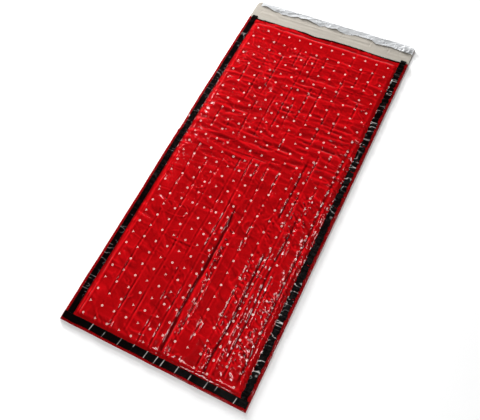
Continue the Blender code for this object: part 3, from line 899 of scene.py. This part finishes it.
# %% Thread finish
def spun_thread():
    """Spun polyester, dyed and twisted: a dull red bead with fine slanting strands."""
    made, tree, shader = material("spun_polyester_thread", "#8E1A20", 0.6)
    point = node(tree, "TexCoord").outputs["Object"]
    twist = node(tree, "TexWave", {"Vector": point, "Scale": 1 / (2 * MM)}, bands_direction="DIAGONAL")
    relief = node(tree, "Bump", {"Height": twist.outputs[0], "Distance": 0.2 * MM, "Strength": 0.5})
    feed(tree, shader, {"Normal": relief.outputs[0]})
    return made


THREAD = spun_thread()

# %% Stitches along the hems
STITCH_PITCH = 9 * MM
STITCH_INSET = 6.5 * MM
STITCH_ENDS = {"lower": (FOOT + 14 * MM, FOLD - 4 * MM), "upper": (FOLD + 4 * MM, COVER_HEAD - 4 * MM)}


def stitches(name, body, path, heading):
    """A row of stitches through a path of points."""
    made = bmesh.new()
    for x, y, z in path:
        stretch = Matrix.Translation((x, y, z)) @ Matrix.Rotation(heading, 4, "Z")
        stretch = stretch @ Matrix.Diagonal((2.6 * MM, 0.5 * MM, 0.4 * MM, 1))
        bmesh.ops.create_icosphere(made, subdivisions=1, radius=1, matrix=stretch)
    mesh = bpy.data.meshes.new(name)
    made.to_mesh(mesh)
    made.free()
    row = show(name, mesh, THREAD)
    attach(row, body)
    return row


def on_film(x, y):
    """Points that lie on the film's hem."""
    x, y = np.broadcast_arrays(np.asarray(x, float), np.asarray(y, float))
    dx, dy = sway(x, y)
    return np.stack([x + dx, y + dy, film_height(x, y) + 0.1 * MM], axis=1)


for side, sign in (("left", -1), ("right", 1)):
    for zone, ends in STITCH_ENDS.items():
        row = on_film(sign * (SIDE - STITCH_INSET), spaced(*ends, STITCH_PITCH))
        stitches(f"stitches_{side}_{zone}", f"cover_{zone}", row, math.pi / 2)
row = on_film(spaced(-SIDE + 10 * MM, SIDE - 10 * MM, STITCH_PITCH), FOOT + 5.5 * MM)
stitches("stitches_foot", "cover_lower", row, 0)

# %% [markdown]
# ## Cream lining
#
# The inside is spun-bonded cloth, a pale fibre mat pressed with small dots. It isn't woven, so it
# has no threads, and it crumples softly. It lies over the heating wire and is caught down between
# the runs, so the panel inside reads as long flat channels. The base's lining is one sheet across
# the fold.


# %% Non-woven finish
def spun_bonded(name, pale, dark):
    """Matt cloth with the little pressed dots that bond its fibres, drawn 2.4 mm apart to show."""
    made, tree, shader = material(name, pale, 0.85, Specular_IOR_Level=0.2, Sheen_Weight=0.15)
    point = node(tree, "TexCoord").outputs["Object"]
    stain = node(tree, "TexNoise", {"Vector": point, "Scale": 14.0, "Detail": 5.0}).outputs[0]
    tone = node(tree, "Mix", {0: stain, 6: linear(dark), 7: linear(pale)}, data_type="RGBA")
    dots = node(tree, "TexVoronoi", {"Vector": point, "Scale": 1 / (2.4 * MM)}).outputs[0]
    soft = {"Vector": point, "Scale": 1 / (14 * MM), "Detail": 6.0, "Roughness": 0.6}
    creasing = node(tree, "TexNoise", soft).outputs[0]
    height = node(tree, "Math", {0: dots, 1: 0.15, 2: creasing}, operation="MULTIPLY_ADD").outputs[0]
    relief = node(tree, "Bump", {"Height": height, "Distance": 1.2 * MM, "Strength": 0.6})
    feed(tree, shader, {"Base Color": tone.outputs[2], "Normal": relief.outputs[0]})
    return made


CREAM = spun_bonded("spun_bonded_cream", "#ADA79D", "#99938A")

# %% Linings
WIRE_LOW, WIRE_HIGH = (corner.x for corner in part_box("base_heating_wire_lower"))
WIRE_PITCH = (WIRE_HIGH - WIRE_LOW - 2 * MM) / 9
LINING_THICK = 0.5 * MM
INLET_LOW, INLET_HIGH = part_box("power_inlet_housing")
INLET_GAP = 0.4 * MM
INLET_LINES = [INLET_LOW.y - INLET_GAP, INLET_HIGH.y + INLET_GAP]
INLET_HOLE = ((-SIDE - 0.01, INLET_LINES[0], -MM), (INLET_HIGH.x + INLET_GAP, INLET_LINES[1], 0.02))
HEAD_FLAT = 0.770  # the linings are flat past here, under the flap


def between_wires(x):
    """0 over a heating wire and 1 midway between two."""
    phase = (x - WIRE_LOW - 1 * MM) / WIRE_PITCH
    return np.abs(phase - np.rint(phase)) * 2


def inner_field(x, y):
    """1 over the heated middle and 0 at the hems."""
    across = ramp(HEM, HEM + SLOPE, SIDE - np.abs(x))
    return across * ramp(HEM, HEM + SLOPE, y - FOOT) * ramp(0, SLOPE, HEAD_FLAT - y)


LUMPS = [
    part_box(name)
    for name in (
        "base_thermostat_lower", "base_thermostat_upper",
        "base_temperature_probe_lower", "base_temperature_probe_upper", "junction_box_lid",
    )
]


def over_lumps(x, y):
    """1 over a part that holds the lining up, and 0 away from them all."""
    held = np.zeros_like(x)
    for low, high in LUMPS:
        off_x = np.abs(x - (low.x + high.x) / 2) - (high.x - low.x) / 2
        off_y = np.abs(y - (low.y + high.y) / 2) - (high.y - low.y) / 2
        held = np.maximum(held, 1 - ramp(6 * MM, 16 * MM, np.maximum(off_x, off_y)))
    return held


WIRE_ENDS = [
    corner.y
    for panel in ("base", "cover")
    for zone in ("lower", "upper")
    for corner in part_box(f"{panel}_heating_wire_{zone}")
]


def at_turns(y):
    """1 where the wire turns back from one run to the next and holds the lining up, and 0 elsewhere."""
    near = np.min([np.abs(y - end) for end in WIRE_ENDS], axis=0)
    return 1 - ramp(WIRE_PITCH / 2 + 4 * MM, WIRE_PITCH / 2 + 18 * MM, near)


def sag(x, y, seed):
    """How far a lining leaves its plane, in millimetres, from 0 at the wires to about 2.5."""
    seam = np.exp(-(((1 - between_wires(x)) * WIRE_PITCH / 2 / (5 * MM)) ** 2))
    free = ramp(0.12, 0.5, between_wires(x))
    crumple = 0.5 + 0.5 * facets(x / 0.045, y / 0.035, seed)
    folds = 0.5 + 0.5 * ridges(x / 0.09, y / 0.022, seed + 5)
    low = 1.5 * seam * (0.8 + 0.2 * waves(x * 0, y / 0.03, seed)) + free * (0.9 * crumple + 0.7 * folds)
    return low * (1 - over_lumps(x, y)) * (1 - 0.9 * at_turns(y))


def base_lining_surface(u, v):
    """The base's lining sags between the wires."""
    inside = inner_field(u, v)
    z = (4.4 + 3.8 * inside) * MM - MM * inside * sag(u, v, 71) * 0.85
    return u, v, z


def fold_lines(step):
    """Grid lines along the base, close together where it folds."""
    return lines(
        spaced(FOOT + MM, FOLD - 0.014, step), spaced(FOLD - 0.014, FOLD + 0.014, 1.6 * MM),
        spaced(FOLD + 0.014, FLAP_LINE, step), INLET_LINES,
    )


across = lines(spaced(-SIDE + MM, SIDE - MM, 5.6 * MM), [INLET_HIGH.x + INLET_GAP])
base_lining = cloth(
    "base_lining", across, fold_lines(5.6 * MM), base_lining_surface, CREAM, LINING_THICK, hole=INLET_HOLE
)
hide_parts("base_lining_lower", "base_lining_upper")
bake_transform(base_lining)


def cover_lining_surface(u, v):
    """The cover's lining hangs from its wires, so it sags upwards into the cover."""
    inside = inner_field(u, v)
    z = (7.5 + 1.0 * inside) * MM + MM * inside * sag(u, v, 81) * 0.9
    return u, v, z


LINING_ENDS = {"lower": (FOOT + 2 * MM, FOLD - SEAM_GAP), "upper": (FOLD + SEAM_GAP, COVER_HEAD - MM)}
for zone, (low, high) in LINING_ENDS.items():
    reach = SIDE - 2 * MM
    made = cloth(
        f"inside_{zone}", spaced(-reach, reach, 5 * MM)[::-1], spaced(low, high, 5 * MM),
        cover_lining_surface, CREAM, LINING_THICK,
    )
    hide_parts(f"cover_lining_{zone}")
    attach(made, f"cover_{zone}")

# %% [markdown]
# ## Red shell
#
# The base is closed by coated red cloth that runs under it, up its edges and over the lining by
# the width of a hem. As a grid it is a tray with a turned-in lip. It crosses the fold, and a gap
# in its left edge lets the power inlet through. Along the right side a narrow strip joins it to
# the cover.


# %% Coated cloth finish
def coated_cloth():
    """Plain-weave polyester under a thin red coating: satin, with threads drawn 2 mm wide to show."""
    made, tree, shader = material(
        "coated_red_cloth", "#960509", 0.45, Specular_IOR_Level=0.3, Coat_Weight=0.3, Coat_Roughness=0.25
    )
    point = node(tree, "TexCoord").outputs["Object"]
    drift = node(tree, "TexNoise", {"Vector": point, "Scale": 7.0, "Detail": 4.0}).outputs[0]
    tone = node(tree, "Mix", {0: drift, 6: linear("#86040A"), 7: linear("#A80A10")}, data_type="RGBA")
    threads = {"Vector": point, "Scale": 0.31 / (2 * MM)}
    warp = node(tree, "TexWave", threads, bands_direction="X").outputs[1]
    weft = node(tree, "TexWave", threads, bands_direction="Y").outputs[1]
    height = node(tree, "Math", {0: warp, 1: weft}, operation="MAXIMUM").outputs[0]
    relief = node(tree, "Bump", {"Height": height, "Distance": 0.25 * MM, "Strength": 0.5})
    feed(tree, shader, {"Base Color": tone.outputs[2], "Normal": relief.outputs[0]})
    return made


RED_CLOTH = coated_cloth()

# %% Shell
SHELL_REACH = SIDE + 0.2 * MM
SHELL_RISE = 4.5 * MM
SHELL_LIP = 12 * MM


def shell_surface(u, v):
    """Under the base, up its edges, and in over the lining."""
    x, up_x = turned(u, SHELL_REACH, SHELL_RISE)
    y, up_y = turned(v, -FOOT - 0.3 * MM, SHELL_RISE)
    up = np.maximum(up_x, up_y)
    edge = ramp(0, 0.03, SIDE - np.abs(x)) * ramp(0, 0.03, y - FOOT)
    relief_and_painted_shade = edge * (0.30 + 0.25 * facets(x / 0.07, y / 0.05, 91))
    return x + 0.4 * MM * waves(y / 0.05, x * 0, 92), y, 0.1 * MM + up + MM * relief_and_painted_shade * (up < 1e-6)


side = SHELL_REACH + SHELL_RISE
shell_across = lines(
    spaced(-side - SHELL_LIP, -side, 6 * MM), [-side + SHELL_RISE / 2],
    spaced(-SHELL_REACH, SHELL_REACH, 7 * MM), [side - SHELL_RISE / 2],
    spaced(side, side + SHELL_LIP, 6 * MM), [INLET_HIGH.x + INLET_GAP - 8 * MM],
)
foot_edge = FOOT + 0.3 * MM
shell_along = lines(
    spaced(foot_edge - SHELL_RISE - SHELL_LIP, foot_edge - SHELL_RISE, 6 * MM), [foot_edge - SHELL_RISE / 2],
    [foot_edge], fold_lines(7 * MM)[1:],
)
shell_hole = ((-SIDE - 0.01, INLET_LINES[0], 0.4 * MM), (-SIDE + 0.014, INLET_LINES[1], 0.02))
shell = cloth(
    "shell", shell_across, shell_along, shell_surface, RED_CLOTH, 0.2 * MM, below=False, hole=shell_hole
)
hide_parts("base_shell_lower", "base_shell_upper")
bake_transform(shell)


# %% Hinge edge
HINGE_LOW, HINGE_HIGH = 4.6 * MM, PIVOTS["cover_open"].z
HINGE_LIP = 8 * MM


def hinge_surface(u, v):
    """From the base's lip, out over the side and back in under the cover's lip."""
    rise = HINGE_HIGH - HINGE_LOW
    x = SIDE + 0.1 * MM - np.clip(-u, 0, None) - np.clip(u - rise, 0, None)
    x = x + 0.5 * MM * np.sin(np.pi * np.clip(u / rise, 0, 1)) + 0.3 * MM * waves(v / 0.02, u * 0, 93)
    return x, v, HINGE_LOW + np.clip(u, 0, rise)


rise = HINGE_HIGH - HINGE_LOW
across = lines(
    [-HINGE_LIP, -HINGE_LIP / 2], spaced(0, rise, 0.6 * MM), [rise + HINGE_LIP / 2, rise + HINGE_LIP]
)
HINGE_ENDS = {"lower": (FOOT + MM, FOLD - SEAM_GAP), "upper": (FOLD + SEAM_GAP, COVER_HEAD)}
for zone, (low, high) in HINGE_ENDS.items():
    along = spaced(low, high, 5 * MM)
    made = cloth(f"hinge_edge_{zone}", across, along, hinge_surface, RED_CLOTH, 0.2 * MM)
    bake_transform(made)

# %% [markdown]
# ## Closure tapes
#
# The left and foot edges close with hook and loop. The loop side is a mat of fine curls and looks
# like felt. The hook side is rows of stiff hooks, so it shows a regular grain. Both are tape with
# thousands of curls too small to model, so the grain is in the finish and the tape has a slight
# wave between its two rows of stitching.

# %% Closure tapes and hinge webbing
LOOP_TAPE = coated_tape("loop_pile_tape", "#0E0D0D", 0.95, 1.2 * MM, 1.0 * MM)
HOOK_TAPE = coated_tape("moulded_hook_tape", "#131212", 0.55, 1.8 * MM, 1.2 * MM)
WEBBING = coated_tape("woven_black_webbing", "#0C0B0B", 0.8, 2.5 * MM, 0.6 * MM)


def tape(node_name, finish, up):
    """A flat tape in the place of its node, with its pile side up or down."""
    low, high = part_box(node_name)
    long = high.x - low.x > high.y - low.y

    def surface(u, v):
        """A slight crown across the tape and a ripple along it."""
        along, over = (u, v) if long else (v, u)
        middle = (low.y + high.y) / 2 if long else (low.x + high.x) / 2
        crown = 0.25 * np.cos((over - middle) / (12.5 * MM) * np.pi) * MM
        ripple = 0.2 * MM * waves(along / 0.015, over * 0, 101)
        z = high.z - 0.35 * MM + crown + ripple if up else low.z + 0.35 * MM - crown - ripple
        return u, v, z

    across, along = spaced(low.x, high.x, 3.1 * MM), spaced(low.y, high.y, 3.1 * MM)
    made = cloth(
        node_name.replace("base_", "").replace("cover_", ""), across if up else across[::-1], along,
        surface, finish, (high.z - low.z) - 0.7 * MM,
    )
    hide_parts(node_name)
    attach(made, frame["nodes"][node_name]["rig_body"])


for name in ("base_loop_tape_left_lower", "base_loop_tape_left_upper", "base_loop_tape_foot"):
    tape(name, LOOP_TAPE, up=True)
for name in ("cover_hook_tape_left_lower", "cover_hook_tape_left_upper", "cover_hook_tape_foot"):
    tape(name, HOOK_TAPE, up=False)
for name in ("hinge_webbing_lower", "hinge_webbing_upper"):
    tape(name, WEBBING, up=True)

# %% [markdown]
# ## Head flap
#
# The base runs past the cover as a flap that folds over the user's neckline. Its top is the same
# pale cloth, and a strip of metallised foil is folded over its edge. Foil keeps every crease: it
# is a net of mirror facets, gathered into a bunch at the right where it was pinched.


# %% Foil finish
def metallised_foil():
    """Aluminium vapour on thin polyester, crumpled: bright facets with sharp, dark edges."""
    made, tree, shader = material("crumpled_metallised_foil", "#E6E8EA", 0.28, Metallic=0.5)
    point = node(tree, "TexCoord").outputs["Object"]
    net = {"Vector": point, "Scale": 1 / (13 * MM)}
    second = node(tree, "TexVoronoi", net, feature="F2").outputs[0]
    nearest = node(tree, "TexVoronoi", net).outputs[0]
    edge = node(tree, "Math", {0: second, 1: nearest}, operation="SUBTRACT").outputs[0]
    dull = node(tree, "Math", {0: edge, 1: -0.15, 2: 0.36}, operation="MULTIPLY_ADD")
    relief = node(tree, "Bump", {"Height": edge, "Distance": 1.6 * MM, "Strength": 0.7})
    feed(tree, shader, {"Roughness": dull.outputs[0], "Normal": relief.outputs[0]})
    return made


FOIL = metallised_foil()

# %% Flap
FLAP_CORNER = 24 * MM
TURN_OVER = 1 * MM
FLAP_CREASES = ((-0.372, 0.25), (0.058, 0.10), (0.205, -0.10), (0.290, 0.15), (0.352, -0.2))


def rounded(u, v):
    """Pulls the flap's two head corners in to a quarter circle."""
    over = np.clip((v - (HEAD - FLAP_CORNER)) / FLAP_CORNER, 0, 1)
    reach = SIDE - FLAP_CORNER + FLAP_CORNER * np.sqrt(1 - np.minimum(over, 0.999) ** 2)
    corner = SIDE - FLAP_CORNER
    pulled_in = corner + (np.abs(u) - corner) * (reach - corner) / FLAP_CORNER
    return np.where(np.abs(u) > corner, np.sign(u) * pulled_in, u), v


def flap_crumple(x, y):
    """Soft facets, and a few long creases that run across the flap at a slant."""
    root = ramp(FLAP_LINE + 0.006, FLAP_LINE + 0.03, y)
    z = 1.5 * facets(x / 0.060, y / 0.026, 111) + 1.2 * ridges(x / 0.08, y / 0.017, 112)
    for line, slant in FLAP_CREASES:
        off = x - line - slant * (y - FLAP_LINE)
        z = z - 3.2 * np.exp(-((off / (1.9 * MM)) ** 2)) + 1.4 * np.exp(-(((off - 5 * MM) / (3 * MM)) ** 2))
    return MM * root * z


def flap_top(u, v):
    """The flap's lining, turned down over its free edges."""
    side, end = SIDE - 0.2 * MM, HEAD - 0.4 * MM
    x, y = rounded(np.clip(u, -side, side), np.minimum(v, end))
    free = ramp(FLAP_LINE + 4 * MM, FLAP_LINE + 12 * MM, y)
    at_foil = ramp(HEAD - 58 * MM, HEAD - 46 * MM, y)
    low = (4.75 + 0.35 * free) * MM
    z = low + free * flap_crumple(x, y) * (0.6 - 0.5 * at_foil)
    z = np.clip(z, (4.65 - 0.75 * free) * MM, (6.2 - 0.8 * at_foil) * MM)
    over = np.clip(np.maximum(np.abs(u) - side, v - end) / TURN_OVER, 0, 1) * free
    x = x + np.sign(u) * 0.5 * MM * over * (np.abs(u) > side)
    y = y + 0.5 * MM * over * (v > end)
    return x, y, z + (1.1 * MM - z) * over


side = SIDE - 0.2 * MM
across = lines([-side - TURN_OVER, side + TURN_OVER], spaced(-side, side, 3.1 * MM))
along = lines(
    spaced(FLAP_LINE - 26 * MM, HEAD - FLAP_CORNER, 2.8 * MM),
    spaced(HEAD - FLAP_CORNER, HEAD - 0.4 * MM, 1.6 * MM), [HEAD - 0.4 * MM + TURN_OVER],
)
made = cloth("flap_top", across, along, flap_top, CREAM, 0.35 * MM)
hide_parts("flap_lining")
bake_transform(made)


def flap_under(u, v):
    """The red cloth under the flap."""
    x, y = rounded(u, v)
    return x, y, (0.65 + 0.25 * facets(x / 0.06, y / 0.03, 114)) * MM


along = lines(
    spaced(FLAP_LINE - 3 * MM, HEAD - FLAP_CORNER, 5 * MM),
    spaced(HEAD - FLAP_CORNER, HEAD - 0.4 * MM, 1.6 * MM),
)
made = cloth("flap_under", spaced(-SIDE, SIDE, 6 * MM)[::-1], along, flap_under, RED_CLOTH, 0.35 * MM)
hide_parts("flap_backing")
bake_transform(made)

# %% Foil over the flap's edge
FOIL_LEFT, FOIL_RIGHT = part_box("flap_foil_hem")[0].x, SIDE - 3 * MM
FOIL_DEPTH = 40 * MM
FOIL_FLAT = 5.6 * MM  # just above the lining, where a folded flap presses the foil flat


def foil_edge(u):
    """Where the foil turns over the flap's edge, round the flap's corner at the right."""
    corner = np.clip((np.abs(u) - (SIDE - FLAP_CORNER)) / FLAP_CORNER, 0, 1)
    edge = HEAD - FLAP_CORNER * (1 - np.sqrt(1 - np.minimum(corner, 0.98) ** 2))
    return edge + (1.0 + 0.6 * waves(u / 0.025, u * 0, 123)) * MM


def foil_surface(u, v):
    """v is the way in from the flap's edge."""
    bunch = ramp(0.325, 0.365, u)
    deep = FOIL_DEPTH * (0.80 + 0.24 * waves(u / 0.06, u * 0, 121) + 0.12 * waves(u / 0.02, u * 0, 122))
    deep = deep + 9 * MM * ramp(0.02, 0.20, u) + 9 * MM * bunch
    point = np.exp(-(((u - 0.235) / 0.022) ** 2)) * 12 * MM
    y = foil_edge(u) - v / FOIL_DEPTH * (deep + point)
    crumple = 2.6 * facets(u / 0.046, v / 0.019, 124) + 1.3 * facets(u / 0.015, v / 0.009, 125)
    gathers = bunch * (2.2 + 3.6 * facets(u / 0.012, v / 0.011, 126))
    top = np.clip(v / (5 * MM), 0, 1)
    return u, y, FOIL_FLAT + MM * np.maximum(top * (2.2 + crumple + gathers), 0.02 * top)


across = spaced(FOIL_LEFT, FOIL_RIGHT, 2.6 * MM)
along = spaced(0, FOIL_DEPTH, 2.2 * MM)[::-1]
made = cloth("foil_hem", across, along, foil_surface, FOIL, 0.05 * MM, below=False)
made.data.shade_flat()
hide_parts("flap_foil_hem")
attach(made, "flap")
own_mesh(made)


def foil_turn(u, v):
    """From underneath, up round the flap's edge to just under the foil on top."""
    rise = FOIL_FLAT - 0.5 * MM
    y = foil_edge(u) - np.clip(-v - rise, 0, None) - np.clip(v, 0, None)
    return u, y, 0.3 * MM + np.clip(v + rise, 0, rise)


made = cloth(
    "foil_turn", across, lines(spaced(-24 * MM, -5.1 * MM, 6.3 * MM), [-2.6 * MM, 0, 2 * MM])[::-1],
    foil_turn, FOIL, 0.05 * MM,
)
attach(made, "flap")

# %% [markdown]
# ## Layers inside
#
# The felt, reflector, carrier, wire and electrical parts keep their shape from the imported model.
# They only show when something is taken apart, but each still gets the finish of its material.


# %% Finishes of the inner layers
def inner_finish(name, colour, roughness, grain, depth, **sockets):
    """One tone with a slow drift, and a grain of the real size."""
    made, tree, shader = material(name, colour, roughness, **sockets)
    point = node(tree, "TexCoord").outputs["Object"]
    drift = node(tree, "TexNoise", {"Vector": point, "Scale": 25.0, "Detail": 3.0}).outputs[0]
    base = linear(colour)[:3]
    dark = [c * 0.82 for c in base] + [1]
    pale = [min(1, c * 1.1) for c in base] + [1]
    tone = node(tree, "Mix", {0: drift, 6: dark, 7: pale}, data_type="RGBA")
    fine = node(tree, "TexNoise", {"Vector": point, "Scale": 1 / grain, "Detail": 3.0})
    relief = node(tree, "Bump", {"Height": fine.outputs[0], "Distance": depth, "Strength": 0.6})
    feed(tree, shader, {"Base Color": tone.outputs[2], "Normal": relief.outputs[0]})
    return made


# Felt is dull and fuzzy, and the open scrim pale and dry. The wire's silicone sleeve is a smooth
# satin red, moulded nylon a fine-grained black, and plated brass a bright yellow metal.
INNER = {
    "grey_felt": inner_finish("needled_grey_felt", "#B3B3B1", 0.95, 1.5 * MM, 0.6 * MM, Sheen_Weight=0.3),
    "scrim": inner_finish("open_weave_scrim", "#E0DED3", 0.85, 1.0 * MM, 0.3 * MM),
    "silver_foil": FOIL,
    "silicone": inner_finish("extruded_silicone_sleeve", "#8C2A2A", 0.5, 3 * MM, 0.05 * MM),
    "black_plastic": inner_finish("moulded_black_nylon", "#1C1C1D", 0.5, 0.6 * MM, 0.08 * MM),
    "brass": inner_finish("plated_brass", "#D9B96E", 0.3, 2 * MM, 0.03 * MM, Metallic=1.0),
    "red_shell": RED_CLOTH,
    "cream_lining": CREAM,
    "black_band": BLACK_BAND,
    "closure_tape": LOOP_TAPE,
    "red_film": RED_FILM,
}
for cad_node in frame["nodes"].values():
    for slot in cad_node.material_slots:
        slot.material = INNER[slot.material.name.split(".")[0]]
print(len(frame["nodes"]), "nodes have their finish")
